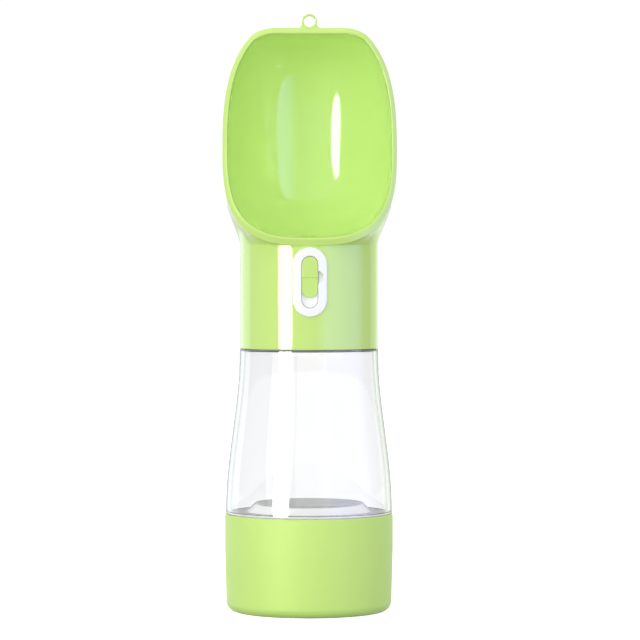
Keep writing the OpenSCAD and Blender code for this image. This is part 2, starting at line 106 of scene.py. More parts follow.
room_grey, gloss_grey, gloss_floor = (0.46, 0.48, 0.50), (0.8, 0.84, 1.0), (0.55, 0.6, 0.45)
wall_white, ceiling_white, camera_white = (0.93, 0.93, 0.93), (1.1, 1.1, 1.1), (1.03, 1.03, 1.03)
wall_edge, wall_full = math.radians(60), math.radians(40)
floor_edge, floor_full, ceiling_edge, ceiling_full = -0.1, -0.5, 0.25, 0.9

# Each panel: azimuth and half-width, elevation and half-height in degrees, the outline's power, the
# share of it that fades out, and the radiance.
gloss_panels = ((-40.5, 12.5, 0, 22.5, 1.4, 0.06, (20, 20, 20)),
                (57, 48, 0, 88, 2.2, 0.9, (2.0, 2.3, 4.7)),
                (-140, 26, 31, 54, 4, 0.4, (1.8, 2.0, 2.1)),
                (146, 24, 30, 55, 4, 0.6, (1.3, 1.5, 1.2)))


def room_light():
    """Radiance of the room by direction: a white wall round the back, by the angle from the back, a
    bright ceiling, by the sine of the elevation, and grey elsewhere. Glossy surfaces also see a floor and
    the panels, each |azimuth / half|^p + |elevation / rise|^p < 1 about its centre. The camera sees only
    white."""
    world.use_nodes = True
    tree = world.node_tree
    make, link = tree.nodes.new, tree.links.new

    def combine(operation, a, b):
        """Math node of two values, each a number or a socket."""
        node = make("ShaderNodeMath")
        node.operation = operation
        for socket, value in zip(node.inputs, (a, b)):
            if isinstance(value, (int, float)):
                socket.default_value = value
            else:
                link(value, socket)
        return node.outputs[0]

    def ramp(source, dark, bright):
        """Smoothstep of a socket: 0 at dark and 1 at bright."""
        step = make("ShaderNodeMapRange")
        step.interpolation_type = "SMOOTHSTEP"
        step.inputs["From Min"].default_value = dark
        step.inputs["From Max"].default_value = bright
        link(source, step.inputs["Value"])
        return step.outputs["Result"]

    def mixed(under, factor, colour):
        """under (1 - factor) + colour factor."""
        node = make("ShaderNodeMix")
        node.data_type = "RGBA"
        node.inputs["B"].default_value = (*colour, 1)
        link(under, node.inputs["A"])
        link(factor, node.inputs["Factor"])
        return node.outputs["Result"]

    def off_centre(angle, centre, half, p):
        """(|angle - centre| / half)^p, where centre and half are in degrees."""
        away = combine("ABSOLUTE", combine("SUBTRACT", angle, math.radians(centre)), 0)
        return combine("POWER", combine("DIVIDE", away, math.radians(half)), p)

    place = make("ShaderNodeTexCoord")
    split = make("ShaderNodeSeparateXYZ")
    path = make("ShaderNodeLightPath")
    link(place.outputs["Generated"], split.inputs["Vector"])
    up = split.outputs["Z"]
    azimuth = combine("ARCTAN2", split.outputs["X"], combine("MULTIPLY", split.outputs["Y"], -1))
    elevation = combine("ARCSINE", up, 0)
    from_back = combine("SUBTRACT", math.pi, combine("ABSOLUTE", azimuth, 0))
    glossy = combine("MULTIPLY", path.outputs["Is Glossy Ray"], path.outputs["Is Reflection Ray"])

    base = make("ShaderNodeRGB")
    base.outputs[0].default_value = (*room_grey, 1)
    light = mixed(base.outputs[0], glossy, gloss_grey)
    light = mixed(light, combine("MULTIPLY", ramp(up, floor_edge, floor_full), glossy), gloss_floor)
    light = mixed(light, ramp(from_back, wall_edge, wall_full), wall_white)
    light = mixed(light, ramp(up, ceiling_edge, ceiling_full), ceiling_white)
    for centre, half, height, rise, p, fade, colour in gloss_panels:
        across, along = off_centre(azimuth, centre, half, p), off_centre(elevation, height, rise, p)
        distance = combine("ADD", across, along)
        light = mixed(light, combine("MULTIPLY", ramp(distance, 1, 1 - fade), glossy), colour)
    light = mixed(light, path.outputs["Is Camera Ray"], camera_white)
    link(light, tree.nodes["Background"].inputs["Color"])


room_light()


def new_material(name):
    """A material with its node tree and Principled shader, as (material, tree, shader)."""
    material = bpy.data.materials.new(name)
    material.use_nodes = True
    tree = material.node_tree
    return material, tree, tree.nodes["Principled BSDF"]


def mesh_object(name, points, faces, material=None, sharp=None):
    """Object from an (n, 3) array in metres and faces as index tuples, joined where points meet.
    Smooth all over, or only across edges flatter than sharp degrees."""
    mesh = bpy.data.meshes.new(name)
    mesh.from_pydata(np.asarray(points).tolist(), [], faces)
    work = bmesh.new()
    work.from_mesh(mesh)
    bmesh.ops.remove_doubles(work, verts=work.verts, dist=2e-7)
    bmesh.ops.dissolve_degenerate(work, edges=work.edges, dist=1e-8)
    bmesh.ops.recalc_face_normals(work, faces=work.faces)
    work.to_mesh(mesh)
    work.free()
    mesh.polygons.foreach_set("use_smooth", np.ones(len(mesh.polygons), bool))
    if sharp is not None:
        mesh.set_sharp_from_angle(angle=math.radians(sharp))
    obj = bpy.data.objects.new(name, mesh)
    bpy.context.scene.collection.objects.link(obj)
    if material:
        mesh.materials.append(material)
    return obj


paper_through = 0.52


def paper_material():
    """White paper with a fine grain. It looks evenly lit to the camera and, by the share paper_through,
    through the clear bottle, but it lights the object only by what it reflects."""
    material, tree, shader = new_material("white_paper")
    make, link = tree.nodes.new, tree.links.new
    place, grain = make("ShaderNodeTexCoord"), make("ShaderNodeTexNoise")
    tone, path = make("ShaderNodeMapRange"), make("ShaderNodeLightPath")
    through, glow = make("ShaderNodeMath"), make("ShaderNodeMath")
    grain.inputs["Scale"].default_value = 900
    tone.inputs["To Min"].default_value, tone.inputs["To Max"].default_value = 0.5, 0.53
    link(place.outputs["Object"], grain.inputs["Vector"])
    link(grain.outputs["Fac"], tone.inputs["Value"])
    link(tone.outputs["Result"], shader.inputs["Base Color"])
    shader.inputs["Roughness"].default_value = 0.9
    shader.inputs["Specular IOR Level"].default_value = 0.0
    shader.inputs["Emission Color"].default_value = (1, 1, 1, 1)
    through.operation, glow.operation = "MULTIPLY", "MAXIMUM"
    through.inputs[1].default_value = paper_through
    link(path.outputs["Is Transmission Ray"], through.inputs[0])
    link(path.outputs["Is Camera Ray"], glow.inputs[0])
    link(through.outputs[0], glow.inputs[1])
    link(glow.outputs[0], shader.inputs["Emission Strength"])
    return material


table_half = 3.0
table_corners = np.array([(-1, -1, 0), (1, -1, 0), (1, 1, 0), (-1, 1, 0)]) * table_half
table = mesh_object("table", table_corners, [(0, 1, 2, 3)], paper_material())
table.visible_glossy = False


# ---- Head: trough and sleeve in one green moulding ----
# Glossy ABS with a faint waviness from the tool. The sleeve is round, and it screws on the bottle's neck.
# Above it the skin swells into a scoop, whose rim lies in one plane that leans back and has a narrow lip.

def moulded_surface():
    """Node group: noise at a named scale gives a gloss mask and a small bump for a moulded skin."""
    group = bpy.data.node_groups.new("moulded_surface", "ShaderNodeTree")
    interface = group.interface
    for name, value in (("Scale", 180.0), ("Roughness Low", 0.15),
                        ("Roughness High", 0.22), ("Bump", 0.02)):
        socket = interface.new_socket(name, in_out="INPUT", socket_type="NodeSocketFloat")
        socket.default_value = value
    interface.new_socket("Roughness", in_out="OUTPUT", socket_type="NodeSocketFloat")
    interface.new_socket("Normal", in_out="OUTPUT", socket_type="NodeSocketVector")
    make, link = group.nodes.new, group.links.new
    source, sink = make("NodeGroupInput"), make("NodeGroupOutput")
    place = make("ShaderNodeTexCoord")
    noise = make("ShaderNodeTexNoise")
    noise.inputs["Detail"].default_value = 3
    fine = make("ShaderNodeTexNoise")
    fine.inputs["Detail"].default_value = 2
    times = make("ShaderNodeMath")
    times.operation = "MULTIPLY"
    times.inputs[1].default_value = 6
    spread = make("ShaderNodeMapRange")
    spread.inputs["From Min"].default_value = 0.3
    spread.inputs["From Max"].default_value = 0.7
    bump = make("ShaderNodeBump")
    bump.inputs["Distance"].default_value = 0.2 * mm
    link(place.outputs["Object"], noise.inputs["Vector"])
    link(place.outputs["Object"], fine.inputs["Vector"])
    link(source.outputs["Scale"], noise.inputs["Scale"])
    link(source.outputs["Scale"], times.inputs[0])
    link(times.outputs[0], fine.inputs["Scale"])
    link(noise.outputs["Fac"], spread.inputs["Value"])
    link(source.outputs["Roughness Low"], spread.inputs["To Min"])
    link(source.outputs["Roughness High"], spread.inputs["To Max"])
    link(spread.outputs["Result"], sink.inputs["Roughness"])
    link(source.outputs["Bump"], bump.inputs["Strength"])
    link(fine.outputs["Fac"], bump.inputs["Height"])
    link(bump.outputs["Normal"], sink.inputs["Normal"])
    return group


moulded = moulded_surface()


def moulded_material(name, colour, rough, scale=60.0, bump=0.03, **sockets):
    """Principled plastic with the moulded surface. rough is (low, high), and sockets are set on the
    shader."""
    material, tree, shader = new_material(name)
    shader.inputs["Base Color"].default_value = (*colour, 1)
    for key, value in sockets.items():
        shader.inputs[key.replace("_", " ")].default_value = value
    skin = tree.nodes.new("ShaderNodeGroup")
    skin.node_tree = moulded
    skin.inputs["Scale"].default_value = scale
    skin.inputs["Roughness Low"].default_value, skin.inputs["Roughness High"].default_value = rough
    skin.inputs["Bump"].default_value = bump
    tree.links.new(skin.outputs["Roughness"], shader.inputs["Roughness"])
    tree.links.new(skin.outputs["Normal"], shader.inputs["Normal"])
    return material


# The hollow's green is a lighter copy of the head's green: painted light that lifts the shade inside the
# trough.
green_rgb, bowl_painted_light_rgb = (0.58, 0.81, 0.21), (0.67, 0.88, 0.3)
green_gloss = moulded_material("green_gloss_plastic", green_rgb, (0.07, 0.1), IOR=1.5)
green_bowl_lit = moulded_material("green_bowl_painted_light", bowl_painted_light_rgb, (0.07, 0.1), IOR=1.5)

sleeve_r, bore_r, trough_wall = 31 * mm, 28.8 * mm, 2.2 * mm
sleeve_foot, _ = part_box("head_shell")
z_sleeve = sleeve_foot[2]
z_lip = z_sleeve + 46.25 * mm
z_wide = z_lip + 43.6 * mm
z_tip = z_wide + 53 * mm
z_deep = z_lip + 47.4 * mm
trough_half, crown = 38.6 * mm, 58.3 * mm
corner_w, corner_h = 6 * mm, 3.4 * mm
flare_h, flare_power = 17 * mm, 5.5
rim_lean = 15 * mm
y_tip = -sleeve_r + rim_lean
lip_side, lip_low, lip_top = 2.1 * mm, 3.0 * mm, 2.7 * mm
least_depth = 0.3 * mm
head_rows, head_columns = 170, 200

# Powers of the superellipses: the rim below and above its widest level, the roof and the floor, a
# level of the skin, and a level of the hollow.
rim_low_p, rim_high_p, roof_p, skin_p, hollow_p = 3, 2.6, 3, 2.3, 2.4


def power(v, p):
    """Signed power of an array: sign(v) |v|^p."""
    return np.sign(v) * np.abs(v) ** p


def bulge(u, n):
    """Quarter of a superellipse: (1 - u^n)^(1/n), from 1 at u = 0 to 0 at u = 1."""
    return np.maximum(0, 1 - np.clip(np.abs(u), 0, 1) ** n) ** (1 / n)


def smoothstep(t):
    """t^2 (3 - 2 t), level at 0 and at 1."""
    return t * t * (3 - 2 * t)


def front_y(z):
    """The rim's plane: y rises straight from the lip to the tip."""
    return -sleeve_r + rim_lean * np.clip((z - z_lip) / (z_tip - z_lip), 0, 1)


def rim_half(z, side, low):
    """Half-width of an outline that lies side and low inside the rim's: one superellipse below the widest
    level and one above it, with quarter ellipses at the corners of the flat top."""
    below = bulge((z_wide - z) / (z_wide - z_lip - low), rim_low_p)
    above = bulge((z - z_wide) / (crown - side), rim_high_p)
    top = z_tip - side / lip_side * lip_top
    corner = corner_w * (1 - bulge(np.maximum(0, z - top + corner_h) / corner_h, 2))
    return (trough_half - side) * np.where(z < z_wide, below, above) - corner


def back_y(z, inset, roof):
    """Back of a skin: upright up to the deepest level, then a superellipse up to its roof."""
    rise = np.maximum(0, z - z_deep) / (z_tip - roof - z_deep)
    return y_tip + (sleeve_r - inset - y_tip) * bulge(rise, roof_p)


def bowl_y(z):
    """Back of the hollow: the skin's less the wall, over a floor that is a superellipse too."""
    floor = bulge(np.maximum(0, z_deep - z) / (z_deep - (z_lip + lip_low)), roof_p)
    above_floor = front_y(z) + (sleeve_r - trough_wall - front_y(z)) * floor
    return np.minimum(back_y(z, trough_wall, lip_top), above_floor)


def skin_points(z, share):
    """Skin at heights z, with share from 0 at the right rim round the back to 1 at the left. Half-width
    is the power mean of the sleeve's circle, whose radius follows the back, and of a level of the trough,
    w (1 - ((y - front) / depth)^p)^(1/p). The mean's power grows from flare_power above the flare."""
    rim = np.where(z > z_lip, rim_half(z, 0, 0), 0)
    front = front_y(z)
    depth = np.maximum(least_depth, back_y(z, 0, 0) - front)
    across = (1 - np.cos(math.pi * (1 - np.abs(2 * share - 1)))) / 2
    y = front + depth * across
    sleeve = np.sqrt(np.maximum(0, np.maximum(0, back_y(z, 0, 0)) ** 2 - y ** 2))
    level = rim * bulge(across, skin_p)
    n = flare_power * np.maximum(1, (z - z_lip) / flare_h)
    large, small = np.maximum(sleeve, level), np.minimum(sleeve, level)
    half = large * (1 + (small / np.maximum(large, 1e-9)) ** n) ** (1 / n)
    return np.stack([np.where(share < 0.5, half, -half), y, z], -1)


def hollow_points(z, share):
    """Hollow at heights z: half superellipses behind the rim's plane, x = w cos(a)^(2/p) and
    y = front + depth sin(a)^(2/p)."""
    half = rim_half(z, lip_side, lip_low)
    depth = np.maximum(0, bowl_y(z) - front_y(z))
    a = math.pi * share
    x = half * power(np.cos(a), 2 / hollow_p)
    return np.stack([x, front_y(z) + depth * np.abs(np.sin(a)) ** (2 / hollow_p), z], -1)


def levels_along(half_at, low, high, count):
    """Heights of points at even steps along the outline x = half_at(z) between two heights."""
    z = low + (high - low) * np.linspace(0, 1, 40001) ** 3
    length = np.concatenate([[0], np.cumsum(np.hypot(np.diff(half_at(z)), np.diff(z)))])
    return np.interp(np.linspace(0, length[-1], count), length, z)


def head_grid(points_at, low, high, inset_side, inset_low):
    """Grid over a skin: its rows follow the rim's outline at the ends and even heights at the back."""
    share = np.linspace(0, 1, head_columns + 1)
    edge = levels_along(lambda z: rim_half(z, inset_side, inset_low), low, high, head_rows)
    even = low + (high - low) * np.sin(np.linspace(0, math.pi / 2, head_rows)) ** 1.6
    mix = smoothstep(np.clip(np.sin(math.pi * share) * 2, 0, 1))
    z = edge[:, None] * (1 - mix) + even[:, None] * mix
    return points_at(z, np.broadcast_to(share, z.shape))


def rim_edge(grid):
    """The grid's free edge: up its first column, along its last row, down its last column."""
    return np.concatenate([grid[:, 0], grid[-1, 1:-1], grid[::-1, -1]])


def rounded(corners, steps=6):
    """Polyline through corners (r, z, fillet), where each fillet's arc is tangent to both sides."""
    out = []
    for i, (x, z, r) in enumerate(corners):
        here = np.array([x, z])
        if r <= 0 or i in (0, len(corners) - 1):
            out.append(here)
            continue
        back, on = np.array(corners[i - 1][:2]) - here, np.array(corners[i + 1][:2]) - here
        back_l, on_l = np.linalg.norm(back), np.linalg.norm(on)
        back, on = back / back_l, on / on_l
        half = math.acos(np.clip(back @ on, -1, 1)) / 2
        reach = min(r / math.tan(half), 0.49 * back_l, 0.49 * on_l)
        r = reach * math.tan(half)
        middle = here + (back + on) / np.linalg.norm(back + on) * r / math.sin(half)
        a, b = here + back * reach - middle, here + on * reach - middle
        sweep = math.pi - 2 * half
        for t in np.linspace(0, 1, steps + 1):
            turned = (math.sin((1 - t) * sweep) * a + math.sin(t * sweep) * b) / math.sin(sweep)
            out.append(middle + turned)
    return np.array(out)


# The lip from its outer edge to its inner one, as (share of its width, height in mm, fillet): a low
# step, a flank that rises inwards, and a rounded ridge.
lip_profile = rounded([(0, 0, 0), (0, 0.3, 0.2), (0.75, 1.8, 0.3), (1, 1.8, 0.3), (1, 0, 0)]) * [1, mm]


def lip_band(outer, inner):
    """The lip's profile between two edges of the rim: outer + share (inner - outer) + height times the
    rim's forward direction."""
    lean = math.atan2(rim_lean, z_tip - z_lip)
    forward = np.array([0, -math.cos(lean), math.sin(lean)])
    share, height = lip_profile[:, 0, None, None], lip_profile[:, 1, None, None]
    return outer + (inner - outer) * share + forward * height


skin = head_grid(skin_points, z_lip, z_tip, 0, 0)
hollow = head_grid(hollow_points, z_lip + lip_low, z_tip - lip_top, lip_side, lip_low)
lip = lip_band(rim_edge(skin), rim_edge(hollow))

foot_round, bore_chamfer, pole_r = 0.4 * mm, 0.3 * mm, 1e-7
z_ceiling = z_lip + 0.6 * mm
quarter = np.linspace(0, math.pi / 2, 7)
around = skin[0, :, :2] / sleeve_r


def sleeve_ring(radius, z):
    """Circle at height z whose points stand under those of the skin's lowest row."""
    return np.concatenate([around * radius, np.full((len(around), 1), z)], 1)


ceiling = [sleeve_ring(r, z_ceiling) for r in (pole_r, bore_r / 2, bore_r)]
bore_foot = [sleeve_ring(bore_r, z_sleeve + bore_chamfer), sleeve_ring(bore_r + bore_chamfer, z_sleeve)]
foot_edge = [sleeve_ring(sleeve_r - foot_round * (1 - math.sin(t)),
                         z_sleeve + foot_round * (1 - math.cos(t))) for t in quarter]
outside = [sleeve_ring(sleeve_r, z) for z in np.linspace(z_sleeve + 2 * mm, z_lip, 30)]
sleeve = np.array(ceiling + bore_foot + foot_edge + outside)


def grid_faces(rows, columns, wrap=False, closed=False):
    """Quads over a grid of points stored row by row. wrap joins the last column to the first,
    closed the last row to the first."""
    i, j = np.meshgrid(np.arange(rows if closed else rows - 1),
                       np.arange(columns if wrap else columns - 1), indexing="ij")
    down, k = (i + 1) % rows, (j + 1) % columns
    quads = np.stack([i * columns + j, i * columns + k, down * columns + k, down * columns + j], -1)
    return quads.reshape(-1, 4).tolist()


def grid_mesh(grid, wrap=False, closed=False):
    """Points and quads of a (rows, columns, 3) grid."""
    return grid.reshape(-1, 3), grid_faces(grid.shape[0], grid.shape[1], wrap, closed)


def together(*pieces):
    """Points and faces of several meshes as one."""
    points, faces, start = [], [], 0
    for piece_points, piece_faces in pieces:
        points.append(piece_points)
        faces += [tuple(i + start for i in face) for face in piece_faces]
        start += len(piece_points)
    return np.concatenate(points), faces


def face_vectors(obj, kind):
    """The centre or the normal of every face of a mesh, as an (n, 3) array."""
    vectors = np.empty((len(obj.data.polygons), 3))
    obj.data.polygons.foreach_get(kind, vectors.ravel())
    return vectors


head_mesh = together(grid_mesh(sleeve), grid_mesh(skin), grid_mesh(hollow), grid_mesh(lip, True))
head = mesh_object("head_moulding", *head_mesh, green_gloss, sharp=50)
head.data.materials.append(green_bowl_lit)
# Faces of the hollow take the lighter green, which is painted light against the trough's shade.
x, y, z = face_vectors(head, "center").T
bowl_half = np.maximum(1e-6, rim_half(z, lip_side, lip_low))
bowl_depth = np.maximum(1e-6, bowl_y(z) - front_y(z))
bowl_back = np.maximum(0, y - front_y(z)) / bowl_depth
bowl_margin = 1.03
inside = (np.abs(x) / bowl_half) ** hollow_p + bowl_back ** hollow_p < bowl_margin
inside &= (y > front_y(z)) & (z > z_lip + lip_low) & (z < z_tip - lip_top)
head.data.polygons.foreach_set("material_index", inside.astype(np.int32))


def stadium(width, height, turn_steps, side_steps):
    """Outline of an upright stadium from its right side up and round, as (x, z), with outward directions.
    Stadiums with equal steps have matching points."""
    r, straight = width / 2, height - width
    angle = np.linspace(0, math.pi, turn_steps + 1)
    rise = np.linspace(-straight / 2, straight / 2, side_steps + 1)[1:-1]
    turn = np.stack([np.cos(angle), np.sin(angle)], -1)
    top = turn * r + [0, straight / 2]
    side = np.stack([np.full(len(rise), r), rise], -1)
    side_out = np.stack([np.ones(len(rise)), 0 * rise], -1)
    return np.concatenate([side, top, -side, -top]), np.concatenate([side_out, turn, -side_out, -turn])


def capped(columns):
    """Faces of a closed prism between two loops of points."""
    return grid_faces(2, columns, True) + [tuple(range(columns)), tuple(range(columns, 2 * columns))]


def slab(outline, y_front, y_back):
    """Points and faces of a closed block with one (x, z) outline at two depths."""
    points = np.concatenate([np.insert(outline, 1, y, axis=1) for y in (y_front, y_back)])
    return points, capped(len(outline))


def rod(name, radius, start, end, columns=64):
    """Closed cylinder from start to end, along Y or Z."""
    start, end = np.array(start, float), np.array(end, float)
    a = np.linspace(0, 2 * math.pi, columns, endpoint=False)[:, None]
    across = np.array([0, 0, 1] if start[1] != end[1] else [0, 1, 0])
    ring = radius * (np.cos(a) * np.array([1, 0, 0]) + np.sin(a) * across)
    return mesh_object(name, np.concatenate([start + ring, end + ring]), capped(columns))


def cut(obj, cutter):
    """Takes a closed cutter away from obj and applies it."""
    tool = obj.modifiers.new("cut", "BOOLEAN")
    tool.operation, tool.solver, tool.object = "DIFFERENCE", "EXACT", cutter
    obj.data = bpy.data.meshes.new_from_object(obj.evaluated_get(bpy.context.evaluated_depsgraph_get()))
    obj.modifiers.clear()
    bpy.data.objects.remove(cutter)


bezel_low, bezel_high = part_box("button_bezel")
z_button = (bezel_low[2] + bezel_high[2]) / 2
window_w, window_h = 14.2 * mm, 29.5 * mm
window, _ = stadium(window_w, window_h, 24, 12)
window_block = slab(window + [0, z_button], -sleeve_r - 3 * mm, -bore_r + 6 * mm)
cut(head, mesh_object("window", *window_block))

riser_low, riser_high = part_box("outlet_seal")
y_riser, outlet_r = (riser_low[1] + riser_high[1]) / 2, 3.4 * mm
cut(head, rod("outlet", outlet_r, (0, y_riser, z_lip - 2 * mm), (0, y_riser, z_lip + 12 * mm)))
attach(head, "head")
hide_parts("head_shell")


# ---- Lanyard eye ----
# Part of the head's moulding: a small ring with a round bore on the trough's top edge, its foot
# spread in fillets. It is voxel-blended and smoothed as one skin.

eye_hole_r, eye_r, eye_t = 2.45 * mm, 3.5 * mm, 2.6 * mm
z_eye = z_tip + eye_hole_r + 0.4 * mm
web_top, web_foot = z_eye - 0.9 * mm, z_tip - 1.0 * mm
web_half, web_spread, web_power = 3.3 * mm, 4 * mm, 2.2
section_bend, blend_voxel = 0.6, 0.13 * mm


def eye_mesh():
    """Ring between eye_hole_r and eye_r swept with a superelliptic section of power 2 / section_bend, on
    a web with concave flanks x = web_half + web_spread t^web_power that runs down into the rim."""
    a = np.linspace(0, 2 * math.pi, 96, endpoint=False)[:, None]
    b = np.linspace(0, 2 * math.pi, 24, endpoint=False)[None, :]
    radius = (eye_r + eye_hole_r) / 2 + (eye_r - eye_hole_r) / 2 * power(np.cos(b), section_bend) + 0 * a
    depth = y_tip + eye_t / 2 + eye_t / 2 * power(np.sin(b), section_bend) + 0 * a
    ring = np.stack([radius * np.cos(a), depth, z_eye + radius * np.sin(a)], -1)
    t = np.linspace(0, 1, 12)
    flank = web_half + web_spread * t ** web_power
    height = web_top - (web_top - web_foot) * t
    outline = np.concatenate([np.stack([flank, height], -1), np.stack([-flank, height], -1)[::-1]])
    return together(grid_mesh(ring, True, closed=True), slab(outline, y_tip, y_tip + eye_t))


eye = mesh_object("lanyard_eye", *eye_mesh(), green_gloss)
remesh = eye.modifiers.new("blend", "REMESH")
remesh.mode, remesh.voxel_size = "VOXEL", blend_voxel
soften = eye.modifiers.new("soften", "SMOOTH")
soften.factor, soften.iterations = 0.5, 5
eye.data = bpy.data.meshes.new_from_object(eye.evaluated_get(bpy.context.evaluated_depsgraph_get()))
eye.modifiers.clear()
cut(eye, rod("eye_bore", eye_hole_r, (0, y_tip - 2 * mm, z_eye), (0, y_tip + eye_t + 2 * mm, z_eye)))
eye.data.polygons.foreach_set("use_smooth", np.ones(len(eye.data.polygons), bool))
eye.data.set_sharp_from_angle(angle=math.radians(60))
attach(eye, "head")


# ---- Clear bottle ----
# Injection-blown copolyester: one wall of 1.8 mm from the raised floor to the neck, with a screw
# skirt below for the cup and a screw neck above for the head. The raised floor is frosted underneath,
# with painted shade in its middle and a painted glow.

# The matt grey mixed in where the walls are seen edge-on is painted shade along the bottle's outline.
clear_rgb, edge_shade_rgb, shadow_rgb = (0.98, 0.98, 0.98), (0.42, 0.43, 0.43), (0.98, 0.985, 0.985)
warm_gloss = (1.0, 0.98, 0.78)
edge_start, edge_end, edge_shade_share = 0.66, 0.92, 0.7


def clear_copolyester():
    """Clear plastic that mixes towards a matt grey, painted shade along its outline, by up to
    edge_shade_share where it is seen edge-on, from edge_start to edge_end of Layer Weight's facing.
    Shadow rays pass straight through."""
    material, tree, shader = new_material("clear_copolyester")
    make, link = tree.nodes.new, tree.links.new
    shader.inputs["Base Color"].default_value = (*clear_rgb, 1)
    shader.inputs["Specular Tint"].default_value = (*warm_gloss, 1)
    shader.inputs["Roughness"].default_value = 0.02
    shader.inputs["IOR"].default_value = 1.5
    shader.inputs["Transmission Weight"].default_value = 1.0
    skin = make("ShaderNodeGroup")
    skin.node_tree = moulded
    skin.inputs["Scale"].default_value = 30
    skin.inputs["Bump"].default_value = 0.015
    link(skin.outputs["Normal"], shader.inputs["Normal"])
    facing, edge = make("ShaderNodeLayerWeight"), make("ShaderNodeMapRange")
    grey, outlined = make("ShaderNodeBsdfDiffuse"), make("ShaderNodeMixShader")
    facing.inputs["Blend"].default_value = 0.5
    edge.interpolation_type = "SMOOTHSTEP"
    edge.inputs["From Min"].default_value = edge_start
    edge.inputs["From Max"].default_value = edge_end
    edge.inputs["To Max"].default_value = edge_shade_share
    grey.inputs["Color"].default_value = (*edge_shade_rgb, 1)
    link(facing.outputs["Facing"], edge.inputs["Value"])
    link(edge.outputs["Result"], outlined.inputs[0])
    link(shader.outputs[0], outlined.inputs[1])
    link(grey.outputs[0], outlined.inputs[2])
    path, through = make("ShaderNodeLightPath"), make("ShaderNodeBsdfTransparent")
    mix = make("ShaderNodeMixShader")
    through.inputs["Color"].default_value = (*shadow_rgb, 1)
    link(path.outputs["Is Shadow Ray"], mix.inputs[0])
    link(outlined.outputs[0], mix.inputs[1])
    link(through.outputs[0], mix.inputs[2])
    link(mix.outputs[0], tree.nodes["Material Output"].inputs["Surface"])
    return material


# The frosting's grey middle is painted shade, and its glow is painted light.
frost_painted_shade, frost_white = (0.5, 0.5, 0.49), (0.98, 0.98, 0.98)
frost_flat_r, frost_cone_r, frost_rim_r, frost_reach = 22.6 * mm, 23.4 * mm, 31 * mm, 3 * mm
frost_painted_glow = 0.16


def frosted_painted_light_copolyester():
    """Frosted plastic, white beyond frost_cone_r and grey within frost_flat_r of the axis, where the grey
    is painted shade for the dark cup seen through the floor. A painted glow of the same tone stands in
    for the light scattered in it."""
    material = moulded_material("frosted_painted_light_copolyester", (0.9, 0.9, 0.9), (0.5, 0.6), scale=400, bump=0.2)
    tree = material.node_tree
    make, link = tree.nodes.new, tree.links.new
    shader = tree.nodes["Principled BSDF"]
    place, flatten = make("ShaderNodeTexCoord"), make("ShaderNodeVectorMath")
    reach, zone, tone = make("ShaderNodeVectorMath"), make("ShaderNodeMapRange"), make("ShaderNodeMix")
    flatten.operation, reach.operation, tone.data_type = "MULTIPLY", "LENGTH", "RGBA"
    flatten.inputs[1].default_value = (1, 1, 0)
    zone.inputs["From Min"].default_value = frost_flat_r
    zone.inputs["From Max"].default_value = frost_cone_r
    tone.inputs["A"].default_value, tone.inputs["B"].default_value = (*frost_painted_shade, 1), (*frost_white, 1)
    shader.inputs["Emission Strength"].default_value = frost_painted_glow
    link(place.outputs["Object"], flatten.inputs[0])
    link(flatten.outputs["Vector"], reach.inputs[0])
    link(reach.outputs["Value"], zone.inputs["Value"])
    link(zone.outputs["Result"], tone.inputs["Factor"])
    link(tone.outputs["Result"], shader.inputs["Base Color"])
    link(tone.outputs["Result"], shader.inputs["Emission Color"])
    return material


z_flange = 44.2 * mm
z_shoulder = z_flange + 73.85 * mm
z_mouth = z_shoulder + 10.45 * mm
z_skirt = z_flange - 11.2 * mm
z_floor = z_flange + 0.7 * mm
bottle_r, bottle_wall = 37.35 * mm, 1.8 * mm
neck_r, neck_wall, plate_t = 24.5 * mm, 2 * mm, 0.45 * mm
skirt_r, skirt_bore_r = 34.2 * mm, 32.2 * mm
punt_foot_r, punt_top_r, punt_h = 28.3 * mm, 24.2 * mm, 4.2 * mm
under_foot_r, under_top_r = 27.1 * mm, 23.4 * mm

# Heights at which fillets take over from the smooth wall: outside from the flange and from the shoulder,
# inside from the floor and from the shoulder.
base_band, top_band, floor_band, plate_band = 0.8 * mm, 0.5 * mm, 1.4 * mm, 2.6 * mm
z_neck_thread, z_skirt_thread = z_shoulder + 2.85 * mm, z_skirt + 2.2 * mm


def bottle_outer(z):
    """Radius of the outside: smoothstep from the shoulder to the base, level at both ends."""
    t = np.clip((z_shoulder - z) / (z_shoulder - z_flange - 1.5 * mm), 0, 1)
    return sleeve_r + (bottle_r - sleeve_r) * smoothstep(t)


